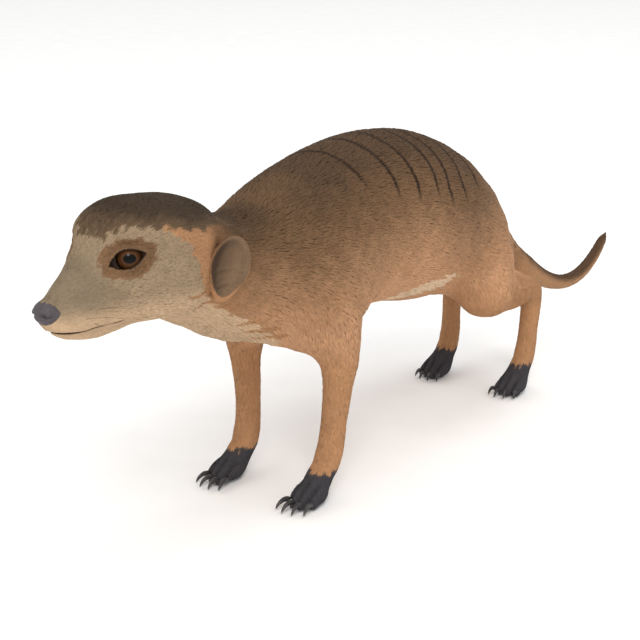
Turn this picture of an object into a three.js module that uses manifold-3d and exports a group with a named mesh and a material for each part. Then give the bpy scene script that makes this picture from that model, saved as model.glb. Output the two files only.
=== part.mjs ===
// A meerkat standing on all fours, life size, as a set of solids that a person would name.
// Millimetres, +Z up, the head towards -Y and the animal's left towards +X. The ground is z = 0.
//
// The whole body is one smooth field: tapered limbs and swellings that melt into each other. Each
// node of flesh is that field meshed at its own fineness, kept inside its own cutter and cleared of
// the cutters that come before it, which leaves thin cuts between neighbours.
import * as THREE from "three";
import { mergeVertices } from "three/addons/utils/BufferGeometryUtils.js";
import Module from "manifold-3d";

const wasm = await Module();
wasm.setup();

// ---- Driving dimensions ----------------------------------------------------------------------

const GAP = 0.3; // clear space between neighbouring solids
const STANCE = 20; // sideways distance of each paw's middle from the body's middle plane
const FORE_PAW = { y: 5, toe: 6.2 }; // middle of the paw, and the reach of its longest toe
const HIND_PAW = { y: 156, toe: 6.4 };
const PAD = { height: 3.9, size: [6.2, 6.8, 4.8] }; // its lowest part is cut flat by the ground
const TOE_SPREAD = [-5, -1.9, 1.6, 4.7]; // sideways place of each toe, from the inner one out
const TOE_BACK = [1.6, 0, 0.3, 2.6]; // how far each toe ends behind the longest one
const TOE_GIRTH = [2.6, 2.2, 2.1]; // radius at the pad, in the middle and at the tip
const FORE_CLAW = { length: 6.8, radius: 1.05 };
const HIND_CLAW = { length: 3.6, radius: 0.95 };
const CLAW_TAPER = [1, 0.88, 0.6, 0];
const EYE = { x: 8.9, y: -73.3, z: 109.7, radius: 4.8 };
const EYE_AXIS = [0.74, -0.64, 0.2]; // the way the left eye looks
const EYE_SLANT = 0.17; // the inner corner of the eye's opening is the lower one
const EYE_OPENING = { wide: 4.9, tall: 3.1, deep: 8 };
const NOSE = { at: [0, -100.9, 97.1], size: [4.1, 3.9, 3.8] };
const EAR = { at: [21, -39.2, 101.8], size: [3.4, 7.4, 10.7] };
const EAR_BOWL = { at: [3.4, -1.4, 0.3], size: [4.6, 6.4, 9.3] }; // what is hollowed out of it
const EAR_TURN = { pitch: -0.22, roll: -0.12, yaw: -0.42 }; // top lies back and in, rear stands off

// Stations are [x, y, z, radius] on the animal's left, with x = 0 on the middle plane.
const TRUNK = {
  width: 0.93, // girth from side to side as a share of the girth from back to belly
  stations: [
    [0, 18, 87, 27.5],
    [0, 42, 94, 32],
    [0, 72, 95.1, 33.9],
    [0, 98, 90.2, 34],
    [0, 122, 82, 27.5],
    [0, 144, 71, 19.5],
    [0, 162, 62, 13],
  ],
};
const NECK = {
  width: 0.95,
  stations: [
    [0, -46, 98, 15.4],
    [0, -36, 95.5, 18.2],
    [0, -20, 91.5, 21.2],
    [0, 0, 87, 24.2],
    [0, 18, 87, 27.3],
  ],
};
const SKULL = { at: [0, -55, 106.6], size: [20.5, 28, 18.8], box: 2.6 };
const FOREHEAD = { at: [4, -66.4, 114], size: [10.3, 12.3, 10] };
const MUZZLE = {
  width: 0.98,
  stations: [
    [0, -100.5, 96.3, 4.2],
    [0, -93, 97.8, 6.4],
    [0, -83, 101, 9],
    [0, -71, 104, 12],
  ],
};
const JAW = {
  width: 1.12,
  stations: [
    [0, -94.5, 89.9, 2.7],
    [0, -86, 89.2, 4.2],
    [0, -74, 90.6, 6.2],
    [0, -60, 96.5, 8.6],
  ],
};
const CHEEK = { at: [9.5, -61, 97.6], size: [10.8, 17.5, 9.6] };
const MOUTH_CORNER = { at: [6.6, -79, 95.6], size: [6.2, 11.5, 6] };
const WHISKER_PAD = { at: [4.2, -91.5, 94], size: [4.8, 8, 4.4] };
const UPPER_LIP = { at: [0, -97.2, 92.6], size: [4.4, 3.8, 2.8] };
const BROW = { at: [8.2, -71.6, 114.6], size: [5.2, 6.4, 4.2] };
const LID = { at: [EYE.x, EYE.y, EYE.z], size: [5.6, 5.6, 5.6] };
const FORE_LEG = {
  width: 1,
  stations: [
    [13, 11, 90, 15],
    [19, 15.5, 74, 12.5],
    [22.6, 20.5, 58, 8.6],
    [22.4, 21, 47, 6.4],
    [20.8, 20.6, 31, 5.3],
    [19.8, 17.8, 14, 5.1],
    [19.6, 12.5, 8.5, 5],
  ],
};
const THIGH = {
  width: 1,
  stations: [
    [12, 131, 77, 16],
    [19.5, 127, 67, 14.5],
    [24, 122.5, 58, 10],
  ],
};
const SHANK = {
  width: 1,
  stations: [
    [24, 120, 55, 8],
    [22.6, 141, 51.5, 8.4],
    [21.2, 159, 49.2, 7],
    [20.7, 170.8, 45.8, 5.6],
    [20.5, 170.4, 33, 4.8],
    [19.9, 168, 15, 4.8],
    [19.8, 162.5, 8, 4.8],
  ],
};
const TAIL = {
  width: 1,
  stations: [
    [0, 156, 72, 12],
    [0, 180, 59, 8.4],
    [0, 206, 43.3, 5.8],
    [0, 227, 33.6, 4.3],
    [0, 243, 29.6, 3.6],
    [0, 258, 29.8, 3.1],
    [0, 273, 35.2, 2.6],
    [0, 288, 46.4, 1.7],
  ],
};
// How wide the rounding is where two swellings meet.
const BLEND = {
  neck: 16,
  head: 7,
  cheek: 7,
  jaw: 3,
  lip: 3,
  brow: 3,
  lid: 1.2,
  tail: 8,
  leg: 11,
  knee: 8,
  paw: 4,
  toe: 1.2,
};

// Where the body is parted. Heights and lengths are in the body's own frame. The tops of the
// slabs lean towards the tail.
const MOUTH = [
  [-115, 89.3],
  [-96, 89.2],
  [-77, 90.8],
  [-66, 86],
  [-60, 74],
  [-115, 74],
]; // [y, z] round everything under the line of the lips
const HEAD_CUT = { front: -160, back: -32, lean: 0.45, height: 95 };
const NECK_CUT = { front: -34, back: 4, lean: 0.45, height: 95 };
const RUMP_CUT = { front: 140, back: 230, lean: 0.2, height: 80 };
const TRUNK_CUT = { front: 0, back: 240, lean: 0.45, height: 95 };
const TAIL_CUTS = {
  tail_tip: { front: 258, back: 330, lean: -0.35, height: 30 },
  tail_middle: { front: 220, back: 262, lean: 0.3, height: 36 },
  tail_root: { front: 188, back: 240, lean: 0.65, height: 54 },
};
const SHOULDER_CUT = { inner: 9, y: 13, z: 73, long: 19, tall: 28 };
const HIP_CUT = { inner: 9, y: 127, z: 66, long: 26, tall: 27 };
const FOREPAW_BOX = { low: [8, -14, 0], high: [34, 25, 12.5] };
const FOREARM_BOX = { low: [8, 4, 12.4], high: [36, 42, 53] };
const HINDPAW_BOX = { low: [8, 138, 0], high: [34, 177, 12] };
const HINDFOOT_BOX = { low: [10, 156, 11.9], high: [34, 190, 40] };
const SHANK_BOX = { low: [11, 142, 36], high: [36, 190, 60] };
const WHOLE = { low: [-45, -120, -3], high: [45, 310, 140] }; // a box that holds the whole animal

// ---- Field: negative inside the flesh, about the distance to its surface ---------------------

const WELD = 0.01; // two corners of a cut nearer than this are one
const STEPS = 5; // straight lengths between two stations
const FAR = 30; // beyond this a rough distance is enough

// A tapered tube through stations, its sides squeezed by width.
function tubeField({ stations, width }) {
  const line = new THREE.CatmullRomCurve3(
    stations.map(([x, y, z]) => new THREE.Vector3(x / width, y, z)),
    false,
    "centripetal",
  );
  const girth = new THREE.CatmullRomCurve3(
    stations.map((s, i) => new THREE.Vector3(i * 10, s[3], 0)),
  );
  const count = (stations.length - 1) * STEPS;
  const beads = Array.from({ length: count + 1 }, (_, i) => ({
    at: line.getPoint(i / count),
    r: girth.getPoint(i / count).y,
  }));
  const around = new THREE.Box3().setFromPoints(beads.map((b) => b.at));
  const widest = Math.max(...beads.map((b) => b.r));
  const p = new THREE.Vector3();
  return (x, y, z) => {
    p.set(x / width, y, z);
    const far = around.distanceToPoint(p) - widest;
    if (far > FAR) return far;
    let least = Infinity;
    for (let i = 0; i < count; i++) least = Math.min(least, coneDistance(p, beads[i], beads[i + 1]));
    return least * Math.min(1, width);
  };
}

function coneDistance(p, a, b) {
  const dx = b.at.x - a.at.x;
  const dy = b.at.y - a.at.y;
  const dz = b.at.z - a.at.z;
  const along = (p.x - a.at.x) * dx + (p.y - a.at.y) * dy + (p.z - a.at.z) * dz;
  const t = Math.min(1, Math.max(0, along / (dx * dx + dy * dy + dz * dz)));
  const away = Math.hypot(p.x - a.at.x - t * dx, p.y - a.at.y - t * dy, p.z - a.at.z - t * dz);
  return away - a.r - t * (b.r - a.r);
}

// An ellipsoid. Its section across the body is boxier where box is over 2.
function ellipsoidField({ at, size, box = 2 }) {
  return (x, y, z) => {
    const u = Math.abs(x - at[0]) / size[0];
    const v = (y - at[1]) / size[1];
    const w = Math.abs(z - at[2]) / size[2];
    const across = (u ** box + w ** box) ** (1 / box);
    const reach = Math.hypot(across, v);
    if (reach < 1e-6) return -Math.min(...size);
    const corner = across > 0 ? across ** (2 - box) : 0;
    const slopeX = (u ** (box - 1) * corner) / size[0];
    const slopeZ = (w ** (box - 1) * corner) / size[2];
    return ((reach - 1) * reach) / Math.hypot(slopeX, v / size[1], slopeZ);
  };
}

// Union of two distances, rounded over a width k.
function melt(a, b, k) {
  const near = Math.max(k - Math.abs(a - b), 0) / k;
  return Math.min(a, b) - (near * near * k) / 4;
}

const toeTip = (paw, i) => paw.y - paw.toe + TOE_BACK[i];

// Four toes ahead of a pad.
function pawField(paw) {
  const pad = ellipsoidField({ at: [STANCE, paw.y + 2, PAD.height], size: PAD.size });
  const toes = TOE_SPREAD.map((side, i) => {
    const tip = toeTip(paw, i);
    return tubeField({
      width: 1,
      stations: [
        [STANCE + side * 0.62, paw.y + 1.5, 5.2, TOE_GIRTH[0]],
        [STANCE + side * 0.9, (paw.y + tip) / 2 + 1, 4.2, TOE_GIRTH[1]],
        [STANCE + side, tip, 1.9, TOE_GIRTH[2]],
      ],
    });
  });
  return (x, y, z) => toes.reduce((d, toe) => melt(d, toe(x, y, z), BLEND.toe), pad(x, y, z));
}

const trunk = tubeField(TRUNK);
const neck = tubeField(NECK);
const muzzle = tubeField(MUZZLE);
const skull = ellipsoidField(SKULL);
const jaw = tubeField(JAW);
const forehead = ellipsoidField(FOREHEAD);
const cheek = ellipsoidField(CHEEK);
const mouthCorner = ellipsoidField(MOUTH_CORNER);
const whiskerPad = ellipsoidField(WHISKER_PAD);
const upperLip = ellipsoidField(UPPER_LIP);
const brow = ellipsoidField(BROW);
const lid = ellipsoidField(LID);
const foreLeg = tubeField(FORE_LEG);
const thigh = tubeField(THIGH);
const shank = tubeField(SHANK);
const tail = tubeField(TAIL);
const forePaw = pawField(FORE_PAW);
const hindPaw = pawField(HIND_PAW);

function headField(x, y, z) {
  let d = melt(skull(x, y, z), muzzle(x, y, z), BLEND.head);
  d = melt(d, mouthCorner(x, y, z), BLEND.lip);
  d = melt(d, whiskerPad(x, y, z), BLEND.lip);
  d = melt(d, upperLip(x, y, z), BLEND.lip);
  d = melt(d, forehead(x, y, z), BLEND.cheek);
  d = melt(d, jaw(x, y, z), BLEND.jaw);
  d = melt(d, cheek(x, y, z), BLEND.cheek);
  d = melt(d, brow(x, y, z), BLEND.brow);
  return melt(d, lid(x, y, z), BLEND.lid);
}

// The whole coated body, the same on both sides.
function flesh(x0, y, z) {
  const x = Math.abs(x0);
  let d = melt(trunk(x, y, z), neck(x, y, z), BLEND.neck);
  d = melt(d, headField(x, y, z), BLEND.head);
  d = melt(d, tail(x, y, z), BLEND.tail);
  d = melt(d, melt(foreLeg(x, y, z), forePaw(x, y, z), BLEND.paw), BLEND.leg);
  const foot = melt(shank(x, y, z), hindPaw(x, y, z), BLEND.paw);
  return melt(d, melt(thigh(x, y, z), foot, BLEND.knee), BLEND.leg);
}

// ---- Meshing ---------------------------------------------------------------------------------

// The closed surface where a field is zero inside a box: one vertex in each cell that the surface
// crosses, moved onto it, and one quad across each grid edge that it crosses.
function surfaceOf(field, box, cell) {
  const n = ["x", "y", "z"].map((k, c) => Math.ceil((box.max[k] - box.min[k]) / cell[c]) + 1);
  const at = (i, j, k) => (k * n[1] + j) * n[0] + i;
  const place = (...steps) => box.min.toArray().map((low, c) => low + steps[c] * cell[c]);
  const reach = Math.min(...cell);
  const values = new Float64Array(n[0] * n[1] * n[2]);
  eachCell(n, (i, j, k) => {
    const rim = !i || !j || !k || i === n[0] - 1 || j === n[1] - 1 || k === n[2] - 1;
    values[at(i, j, k)] = rim ? reach : field(...place(i, j, k)) || 1e-9;
  });

  const positions = [];
  const vertexIn = new Int32Array(values.length).fill(-1);
  eachCell([n[0] - 1, n[1] - 1, n[2] - 1], (i, j, k) => {
    const sum = [0, 0, 0];
    let crossings = 0;
    for (const [a, b] of CELL_EDGES) {
      const va = values[at(i + a[0], j + a[1], k + a[2])];
      const vb = values[at(i + b[0], j + b[1], k + b[2])];
      if (va < 0 === vb < 0) continue;
      const t = va / (va - vb);
      for (let c = 0; c < 3; c++) sum[c] += a[c] + t * (b[c] - a[c]);
      crossings++;
    }
    if (!crossings) return;
    vertexIn[at(i, j, k)] = positions.length / 3;
    const corner = place(i, j, k);
    const start = corner.map((low, c) => low + (sum[c] / crossings) * cell[c]);
    positions.push(...ontoSurface(field, start, reach / 2));
  });

  const index = [];
  eachCell(n, (i, j, k) => {
    for (const [step, u, v] of EDGE_RINGS) {
      if (i + step[0] >= n[0] || j + step[1] >= n[1] || k + step[2] >= n[2]) continue;
      const here = values[at(i, j, k)];
      const next = values[at(i + step[0], j + step[1], k + step[2])];
      if (here < 0 === next < 0) continue;
      const ring = RING.map(([a, b]) => {
        const [left, front, low] = [i, j, k].map((m, c) => m - a * u[c] - b * v[c]);
        return vertexIn[at(left, front, low)];
      });
      if (here < 0) ring.reverse();
      index.push(...splitQuad(positions, ring));
    }
  });
  const made = new THREE.BufferGeometry();
  made.setAttribute("position", new THREE.Float32BufferAttribute(positions, 3));
  made.setIndex(index);
  return made;
}

const [X, Y, Z] = [0, 1, 2].map((axis) => [0, 1, 2].map((c) => (c === axis ? 1 : 0)));
const CUBE = [0, 1].flatMap((z) => [0, 1].flatMap((y) => [0, 1].map((x) => [x, y, z])));
const above = (a, b) => b.every((v, c) => v >= a[c]);
const oneStepUp = (a, b) => above(a, b) && Math.hypot(...b.map((v, c) => v - a[c])) === 1;
const CELL_EDGES = CUBE.flatMap((a) => CUBE.filter((b) => oneStepUp(a, b)).map((b) => [a, b]));
// For each way a grid edge runs, the two ways across it, and the four cells round it.
const EDGE_RINGS = [
  [X, Z, Y],
  [Y, X, Z],
  [Z, Y, X],
];
const RING = [
  [0, 0],
  [1, 0],
  [1, 1],
  [0, 1],
];

function eachCell(n, visit) {
  for (let k = 0; k < n[2]; k++)
    for (let j = 0; j < n[1]; j++) for (let i = 0; i < n[0]; i++) visit(i, j, k);
}

// Two Newton steps along the field's slope, each no longer than most.
function ontoSurface(field, start, most) {
  let p = start;
  const h = 0.05;
  for (let pass = 0; pass < 2; pass++) {
    const d = field(...p);
    const slope = [0, 1, 2].map((c) => {
      const q = [...p];
      q[c] += h;
      return (field(...q) - d) / h;
    });
    const steep = Math.max(slope.reduce((s, g) => s + g * g, 0), 0.05);
    const move = Math.min(Math.abs(d) / Math.sqrt(steep), most) * Math.sign(d);
    p = p.map((v, c) => v - (move * slope[c]) / Math.sqrt(steep));
  }
  return p;
}

// A quad as two triangles, split along its shorter diagonal.
function splitQuad(positions, [a, b, c, d]) {
  const across = apart(positions, a, c) < apart(positions, b, d);
  return across ? [a, b, c, a, c, d] : [a, b, d, b, c, d];
}

function apart(positions, i, j) {
  return Math.hypot(...[0, 1, 2].map((c) => positions[3 * i + c] - positions[3 * j + c]));
}

// ---- Solids ----------------------------------------------------------------------------------

function solidOf(geometry) {
  const bare = geometry.clone();
  bare.deleteAttribute("normal");
  bare.deleteAttribute("uv");
  const merged = mergeVertices(bare, 1e-4);
  return new wasm.Manifold(
    new wasm.Mesh({
      numProp: 3,
      vertProperties: merged.attributes.position.array,
      triVerts: new Uint32Array(merged.index.array),
    }),
  );
}

function geometryOf(solid) {
  const { vertProperties, triVerts } = solid.getMesh();
  const made = new THREE.BufferGeometry();
  made.setAttribute("position", new THREE.BufferAttribute(new Float32Array(vertProperties), 3));
  made.setIndex(weldedFaces(vertProperties, triVerts));
  return mergeVertices(made.toNonIndexed(), 1e-6);
}

// The faces left once the ends of every very short edge are one vertex. A cut leaves such edges
// where it passes close by a corner.
function weldedFaces(positions, index) {
  let faces = Array.from({ length: index.length / 3 }, (_, i) => [...index.slice(3 * i, 3 * i + 3)]);
  const around = (p) => new Set(faces.filter((face) => face.includes(p)).flat());
  const weldable = ([p, q]) => {
    if (apart(positions, p, q) > WELD) return false;
    const nearQ = around(q);
    return [...around(p)].filter((corner) => nearQ.has(corner)).length === 4;
  };
  for (;;) {
    const found = faces.flatMap(edgesOf).find(weldable);
    if (!found) return faces.flat();
    const [kept, lost] = found;
    faces = faces
      .filter((face) => !(face.includes(kept) && face.includes(lost)))
      .map((face) => face.map((corner) => (corner === lost ? kept : corner)));
  }
}

function edgesOf(face) {
  return face.map((corner, i) => [corner, face[(i + 1) % face.length]]);
}

// Cutters are closed shapes that say which part of the body a node holds.

function boxCutter({ low, high }, grow) {
  const size = high.map((v, c) => v - low[c] + 2 * grow);
  return new THREE.BoxGeometry(...size).translate(...low.map((v, c) => (v + high[c]) / 2));
}

// Everything between two parallel planes across the body, which stand at front and back at one
// height.
function slabCutter({ front, back, lean, height }, grow) {
  return new THREE.BoxGeometry(200, (back - front) * Math.cos(lean) + 2 * grow, 320)
    .rotateX(-lean)
    .translate(0, (front + back) / 2, height);
}

// An oval, seen from the side, from its inner face outwards.
function ovalCutter({ inner, y, z, long, tall }, grow) {
  const thick = 40;
  return new THREE.CylinderGeometry(1, 1, thick + 2 * grow, 14)
    .rotateZ(Math.PI / 2)
    .scale(1, long + grow, tall + grow)
    .translate(inner + thick / 2, y, z);
}

// A tapering curved tube: rings of sides along a curve, closed by a flat root and a point.
function hornGeometry(points, radii, sides) {
  const curve = new THREE.CatmullRomCurve3(points.map((p) => new THREE.Vector3(...p)));
  const rings = radii.length - 1;
  const frames = curve.computeFrenetFrames(rings, false);
  const positions = [...curve.getPoint(0)];
  for (let i = 0; i < rings; i++) {
    const middle = curve.getPoint(i / rings);
    for (let s = 0; s < sides; s++) {
      const turn = (2 * Math.PI * s) / sides;
      const out = frames.normals[i]
        .clone()
        .multiplyScalar(Math.cos(turn))
        .addScaledVector(frames.binormals[i], Math.sin(turn));
      positions.push(...middle.clone().addScaledVector(out, radii[i]));
    }
  }
  positions.push(...curve.getPoint(1));
  const tip = positions.length / 3 - 1;
  const index = [];
  for (let s = 0; s < sides; s++) {
    const t = (s + 1) % sides;
    index.push(0, 1 + t, 1 + s);
    for (let i = 0; i < rings - 1; i++) {
      const low = 1 + i * sides;
      const up = low + sides;
      index.push(low + s, low + t, up + s, low + t, up + t, up + s);
    }
    index.push(tip - sides + s, tip - sides + t, tip);
  }
  const made = new THREE.BufferGeometry();
  made.setAttribute("position", new THREE.Float32BufferAttribute(positions, 3));
  made.setIndex(index);
  return made;
}

// ---- Materials -------------------------------------------------------------------------------

const paint = (color, roughness) => new THREE.MeshStandardMaterial({ color, roughness, metalness: 0 });
const COAT = paint(0xa47c55, 0.9);
const PALE_COAT = paint(0xb89c7a, 0.9);
const FOOT_COAT = paint(0x3c3a3b, 0.85);
const EAR_SKIN = paint(0x6b5545, 0.8);
const NOSE_SKIN = paint(0x3a3536, 0.4);
const CLAW_HORN = paint(0x2b2827, 0.45);
const EYEBALL = paint(0x1d120b, 0.12);

// ---- Nodes -----------------------------------------------------------------------------------

const meerkat = new THREE.Group();
meerkat.name = "meerkat";
const taken = []; // cutters of the nodes made so far, each grown by the gap

function add(name, solid, material) {
  const mesh = new THREE.Mesh(geometryOf(solid), material);
  mesh.name = name;
  meerkat.add(mesh);
}

// The part of the body inside cutter(0), clear of every cutter already taken and of the cuts.
function fleshInside(cutter, cell, cuts = []) {
  const shape = cutter(0);
  const whole = new THREE.Box3(new THREE.Vector3(...WHOLE.low), new THREE.Vector3(...WHOLE.high));
  const around = new THREE.Box3().setFromBufferAttribute(shape.attributes.position);
  around.intersect(whole).expandByVector(new THREE.Vector3(...cell).multiplyScalar(2.5));
  let solid = solidOf(surfaceOf(flesh, around, cell)).intersect(solidOf(shape));
  for (const other of [...taken, ...cuts]) solid = solid.subtract(other);
  return largest(solid);
}

function addFlesh(name, cell, material, cutter, cuts) {
  add(name, fleshInside(cutter, cell, cuts), material);
  taken.push(solidOf(cutter(GAP)));
}

// A piece of a leg, made for the left and mirrored for the right.
function addLimb(name, cell, material, cutter) {
  const left = geometryOf(fleshInside(cutter, cell));
  for (const [word, side] of SIDES) {
    add(`${name}_${word}`, solidOf(sided(left, side)), material);
    taken.push(solidOf(sided(cutter(GAP), side)));
  }
}

function largest(solid) {
  return solid.decompose().reduce((a, b) => (a.volume() >= b.volume() ? a : b));
}

const SIDES = [
  ["left", 1],
  ["right", -1],
];

// A geometry made for the left, mirrored for the right.
function sided(geometry, side) {
  if (side > 0) return geometry;
  const flipped = geometry.clone().scale(-1, 1, 1);
  const index = flipped.index.array;
  for (let i = 0; i < index.length; i += 3) [index[i + 1], index[i + 2]] = [index[i + 2], index[i + 1]];
  return flipped;
}

function addEyes() {
  for (const [word, side] of SIDES) {
    const ball = (r) => sided(new THREE.SphereGeometry(r, 12, 7).translate(EYE.x, EYE.y, EYE.z), side);
    add(`eye_${word}`, solidOf(ball(EYE.radius)), EYEBALL);
    taken.push(solidOf(ball(EYE.radius + GAP)));
  }
}

function addNose() {
  const pad = (grow) =>
    new THREE.SphereGeometry(1, 12, 7)
      .scale(...NOSE.size.map((s) => s + grow))
      .translate(...NOSE.at);
  add("nose", solidOf(pad(0)), NOSE_SKIN);
  taken.push(solidOf(pad(GAP)));
}

function addEars() {
  const place = (shape) =>
    shape
      .rotateX(EAR_TURN.pitch)
      .rotateY(EAR_TURN.roll)
      .rotateZ(EAR_TURN.yaw)
      .translate(...EAR.at);
  const shell = (grow) =>
    place(new THREE.SphereGeometry(1, 11, 8).scale(...EAR.size.map((s) => s + grow)));
  const bowl = place(
    new THREE.SphereGeometry(1, 9, 6).scale(...EAR_BOWL.size).translate(...EAR_BOWL.at),
  );
  for (const [word, side] of SIDES) {
    add(`ear_${word}`, solidOf(sided(shell(0), side)).subtract(solidOf(sided(bowl, side))), EAR_SKIN);
    taken.push(solidOf(sided(shell(GAP), side)));
  }
}

// One claw on each toe, arched forward and down from the top of its tip.
function addClaws(name, paw, { length, radius }) {
  const sides = 5;
  TOE_SPREAD.forEach((across, i) => {
    const tip = toeTip(paw, i);
    const middle = STANCE + across;
    const line = [
      [middle, tip - 0.4, 3],
      [middle + 0.1 * across, tip - 0.45 * length, 3.5],
      [middle + 0.2 * across, tip - 0.8 * length, 2.5],
      [middle + 0.25 * across, tip - length, 0.8],
    ];
    for (const [word, side] of SIDES) {
      const claw = (grow) => {
        const radii = CLAW_TAPER.map((share) => share * radius + (share && grow));
        return solidOf(sided(hornGeometry(line, radii, sides), side));
      };
      add(`${name}_${word}_${i + 1}`, claw(0), CLAW_HORN);
      taken.push(claw(GAP));
    }
  });
}

// The lower jaw: everything under the line of the mouth, as far back as its corner.
function jawCutter(grow) {
  const raised = MOUTH.map(([y, z], i) => {
    const upperEdge = i < 3;
    const rearEdge = i > 1 && i < 5;
    return new THREE.Vector2(y + (rearEdge ? grow : 0), z + (upperEdge ? grow : 0));
  });
  const depth = 60;
  return new THREE.ExtrudeGeometry(new THREE.Shape(raised), { depth, bevelEnabled: false })
    .translate(0, 0, -depth / 2)
    .rotateY(Math.PI / 2)
    .rotateX(Math.PI / 2);
}

// The gap between the lids: an almond along the way the eye looks.
function eyeOpening(side) {
  const ahead = new THREE.Vector3(...EYE_AXIS).normalize();
  const across = new THREE.Vector3(0, 0, 1).cross(ahead).normalize();
  const turn = new THREE.Matrix4().makeBasis(across, ahead.clone().cross(across), ahead);
  const middle = new THREE.Vector3(EYE.x, EYE.y, EYE.z).addScaledVector(ahead, EYE.radius);
  const almond = new THREE.SphereGeometry(1, 12, 6)
    .scale(EYE_OPENING.wide, EYE_OPENING.tall, EYE_OPENING.deep)
    .rotateZ(EYE_SLANT)
    .applyMatrix4(turn)
    .translate(...middle);
  return solidOf(sided(almond, side));
}

// The tail behind the rump: one tapering horn, parted into lengths from its tip up.
function addTail() {
  const rings = 22;
  const sides = 9;
  const line = TAIL.stations.map(([x, y, z]) => [x, y, z]);
  const girth = new THREE.CatmullRomCurve3(
    TAIL.stations.map((s, i) => new THREE.Vector3(i, s[3], 0)),
  );
  const radii = Array.from({ length: rings + 1 }, (_, i) => girth.getPoint(i / rings).y);
  const horn = solidOf(hornGeometry(line, radii, sides));
  for (const [name, cut] of Object.entries(TAIL_CUTS)) {
    let solid = horn.intersect(solidOf(slabCutter(cut, 0)));
    for (const other of taken) solid = solid.subtract(other);
    add(name, largest(solid), COAT);
    taken.push(solidOf(slabCutter(cut, GAP)));
  }
}

addEyes();
addNose();
addEars();
addClaws("fore_claw", FORE_PAW, FORE_CLAW);
addClaws("hind_claw", HIND_PAW, HIND_CLAW);
addFlesh("lower_jaw", [3, 4.2, 2.6], PALE_COAT, jawCutter);
const openings = SIDES.map(([, side]) => eyeOpening(side));
addFlesh("head", [5, 5.4, 5], COAT, (grow) => slabCutter(HEAD_CUT, grow), openings);
addLimb("forepaw", [3.1, 3.6, 3.1], FOOT_COAT, (grow) => boxCutter(FOREPAW_BOX, grow));
addLimb("forearm", [3.6, 3.6, 8], COAT, (grow) => boxCutter(FOREARM_BOX, grow));
addLimb("upper_arm", [6.5, 6.5, 7], COAT, (grow) => ovalCutter(SHOULDER_CUT, grow));
addLimb("hindpaw", [3.1, 3.6, 3.1], FOOT_COAT, (grow) => boxCutter(HINDPAW_BOX, grow));
addLimb("hindfoot", [3.4, 3.4, 8.5], COAT, (grow) => boxCutter(HINDFOOT_BOX, grow));
addLimb("shank", [4.6, 7, 4.6], COAT, (grow) => boxCutter(SHANK_BOX, grow));
addLimb("thigh", [6.5, 7, 7], COAT, (grow) => ovalCutter(HIP_CUT, grow));
addTail();
addFlesh("neck", [9, 10, 9], COAT, (grow) => slabCutter(NECK_CUT, grow));
addFlesh("rump", [7.6, 8.4, 7.6], COAT, (grow) => slabCutter(RUMP_CUT, grow));
addFlesh("trunk", [12, 15, 11.5], COAT, (grow) => slabCutter(TRUNK_CUT, grow));

// The origin is on the ground under the middle of the animal's length.
const bounds = new THREE.Box3().setFromObject(meerkat);
const middle = (bounds.min.y + bounds.max.y) / 2;
meerkat.children.forEach((mesh) => mesh.geometry.translate(0, -middle, 0));

export default meerkat;
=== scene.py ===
import math

import bpy
import numpy as np
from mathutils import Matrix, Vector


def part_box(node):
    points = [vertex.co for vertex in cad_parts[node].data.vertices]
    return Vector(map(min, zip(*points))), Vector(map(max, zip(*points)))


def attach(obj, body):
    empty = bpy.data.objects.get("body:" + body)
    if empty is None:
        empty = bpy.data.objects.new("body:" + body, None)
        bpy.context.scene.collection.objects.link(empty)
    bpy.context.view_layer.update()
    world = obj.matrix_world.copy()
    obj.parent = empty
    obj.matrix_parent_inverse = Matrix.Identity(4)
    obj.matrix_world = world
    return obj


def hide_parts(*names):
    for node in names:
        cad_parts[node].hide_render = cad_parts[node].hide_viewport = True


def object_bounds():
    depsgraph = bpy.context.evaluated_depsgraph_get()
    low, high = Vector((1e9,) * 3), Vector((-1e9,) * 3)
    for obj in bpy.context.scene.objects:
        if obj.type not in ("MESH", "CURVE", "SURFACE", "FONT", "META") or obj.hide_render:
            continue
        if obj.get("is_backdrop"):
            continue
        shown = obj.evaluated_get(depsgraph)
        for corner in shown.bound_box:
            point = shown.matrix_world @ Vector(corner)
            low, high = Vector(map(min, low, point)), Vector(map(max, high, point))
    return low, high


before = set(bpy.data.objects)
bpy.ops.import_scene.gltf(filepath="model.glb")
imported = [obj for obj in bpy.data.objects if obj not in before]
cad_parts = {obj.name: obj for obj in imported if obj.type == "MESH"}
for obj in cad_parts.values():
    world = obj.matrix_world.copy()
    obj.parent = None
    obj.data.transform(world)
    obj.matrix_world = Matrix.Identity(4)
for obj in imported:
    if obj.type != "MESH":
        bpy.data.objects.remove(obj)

import openvdb
from mathutils import Vector

CAD_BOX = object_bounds()
MM = 1000.0
NOSE_TIP = -200.4  # places on the animal are in millimetres, with the tip of its nose at this y
START = np.array([0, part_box("nose")[0].y * MM - NOSE_TIP, 0])

# ---- Camera, light and floor ----

AZIMUTH = math.radians(36.578)
ELEVATION = math.radians(17.142)
DISTANCE = 0.6125
AIM = Vector((-0.0238, -0.0200, -0.0169))  # from the middle of the model
FOCAL_LENGTH = 83.25
SENSOR_WIDTH = 36
LIGHTS = (  # name, place, width, power and colour
    ("key", (0.8, -1.0, 1.2), 0.7, 11, (1, 0.98, 0.95)),
    ("top", (0.2, 0.5, 1.9), 1.2, 7, (1, 1, 1)),
)
ROOM_LIGHT = 0.95
FLOOR_RADIUS = 6


def middle_of(box):
    return (Vector(box[0]) + Vector(box[1])) / 2


def look(thing, place, target):
    thing.location = place
    thing.rotation_euler = (Vector(target) - Vector(place)).to_track_quat("-Z", "Y").to_euler()
    bpy.context.scene.collection.objects.link(thing)


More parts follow.
